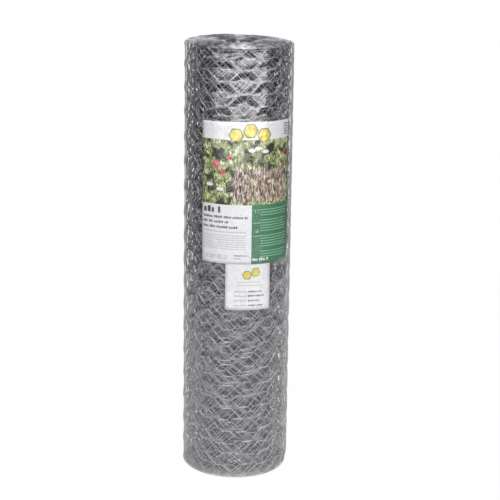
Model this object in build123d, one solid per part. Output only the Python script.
"""Roll of hexagonal wire netting, wound tight and shrink-wrapped in clear film.

The roll stands on its end. The origin is the centre of the underside and +Z runs up
the roll's axis. The printed leaflet faces -Y. All sizes are in millimetres.
"""
from build123d import *
import math
import os

# Netting, a long strip wound into a roll
netting_width = 498.6      # from selvedge to selvedge, which is the height of the roll
netting_length = 10000.0   # strip wound into the roll
roll_radius = 59.9         # outside of the last turn
bore_radius = 15.0         # open eye that the winding spindle leaves
turns_in_ridge = 2         # neighbouring turns whose edges stand up together as one ridge
ridge_height = 1.2         # from a ridge down to the nip between it and the next one
edge_draw = 3.0            # how far the film draws the outer turns in, at both ends

# Clear film, shrunk over the side and turned in over both ends
film_thickness = 0.5
film_eye_radius = 24.0     # where the film's edge stops on each end
film_slack = 0.6           # how much wider than the netting's the film's drawn-in edge is
layer_gap = 0.2            # clearance between one layer and the next

# Printed leaflet under the film, on the front
leaflet_width = 111.6      # along the curve
leaflet_height = 159.0
leaflet_bottom = 254.8     # height of its lower edge
leaflet_turn = 13.4        # degrees from the front towards +X, at the middle of the leaflet
paper_thickness = 0.2

# Small data label, tucked under the leaflet's lower edge
label_width = 52.7
label_height = 70.0
label_tuck = 17.0          # length hidden by the leaflet
label_turn = 13.4

# The layers outwards from the netting
label_radius = roll_radius + layer_gap
leaflet_radius = label_radius + paper_thickness + layer_gap
film_inner_radius = leaflet_radius + paper_thickness + layer_gap
film_outer_radius = film_inner_radius + film_thickness

# The same layers upwards from the ground
netting_bottom = film_thickness + layer_gap
netting_top = netting_bottom + netting_width
overall_height = netting_top + netting_bottom
label_bottom = leaflet_bottom + label_tuck - label_height

# The wound area of an end, shared out over the strip's length
turn_pitch = math.pi * (roll_radius**2 - bore_radius**2) / netting_length
ridge_count = round((roll_radius - bore_radius) / turn_pitch / turns_in_ridge)

FRONT = -90                # degrees from +X to the front
OVERRUN = 1.0              # how far a cutting body runs past what it cuts


def turned_blank(radius, bottom, top, edge):
    """Upright cylinder with both of its rims drawn in to a cone."""
    body = Pos(0, 0, (bottom + top) / 2) * Cylinder(radius, top - bottom)
    return chamfer(body.edges().filter_by(GeomType.CIRCLE), edge)


def turn_grooves(face, inwards):
    """Ring that leaves the wound turns as ridges in an end of the roll.

    inwards is +1 or -1, the way along Z from the end's face into the roll.
    """
    pitch = (roll_radius - bore_radius) / ridge_count
    last_nip = int((roll_radius - edge_draw - bore_radius) / pitch)
    nip = face + inwards * ridge_height
    zigzag = [(bore_radius + pitch / 2, face)]
    for ridge in range(1, last_nip):
        zigzag.append((bore_radius + ridge * pitch, nip))
        zigzag.append((bore_radius + (ridge + 0.5) * pitch, face))
    outside = face - inwards * OVERRUN
    ring = [(zigzag[0][0], outside)] + zigzag + [(zigzag[-1][0], outside)]
    section = make_face(Plane.XZ * Polyline(ring, close=True))
    return revolve(section, Axis.Z)


def netting_roll():
    """Wound netting: one turned body with its bore, and its turns on both ends."""
    roll = turned_blank(roll_radius, netting_bottom, netting_top, edge_draw)
    middle = Pos(0, 0, (netting_bottom + netting_top) / 2)
    roll -= middle * Cylinder(bore_radius, netting_width + 2 * OVERRUN)
    roll -= turn_grooves(netting_bottom, +1)
    roll -= turn_grooves(netting_top, -1)
    return roll


def shrink_film():
    """Film over the side and both ends, with an eye left open in the middle of each end."""
    inner_edge = edge_draw + film_slack
    outer_edge = inner_edge + film_thickness * (2 - math.sqrt(2))
    outside = turned_blank(film_outer_radius, 0, overall_height, outer_edge)
    inside_top = overall_height - film_thickness
    inside = turned_blank(film_inner_radius, film_thickness, inside_top, inner_edge)
    eye = Cylinder(film_eye_radius, overall_height + 2 * OVERRUN)
    return outside - inside - Pos(0, 0, overall_height / 2) * eye


def curved_sheet(radius, width, height, bottom, turn):
    """Paper laid round the roll, with its middle turned from the front by an angle."""
    half_angle = math.degrees(width / radius) / 2
    middle = FRONT + turn
    inner = CenterArc((0, 0), radius, middle - half_angle, 2 * half_angle)
    outer = CenterArc((0, 0), radius + paper_thickness, middle - half_angle, 2 * half_angle)
    sides = [Line(inner @ end, outer @ end) for end in (0, 1)]
    section = make_face([inner, outer] + sides)
    return Pos(0, 0, bottom) * extrude(section, height)


def leaflet():
    """Printed leaflet, between the film and everything else."""
    return curved_sheet(leaflet_radius, leaflet_width, leaflet_height, leaflet_bottom, leaflet_turn)


def data_label():
    """Small label that lies on the netting, with its top behind the leaflet."""
    return curved_sheet(label_radius, label_width, label_height, label_bottom, label_turn)


os.makedirs("parts", exist_ok=True)
for make_part in (netting_roll, shrink_film, leaflet, data_label):
    export_step(make_part(), f"parts/{make_part.__name__}.step")
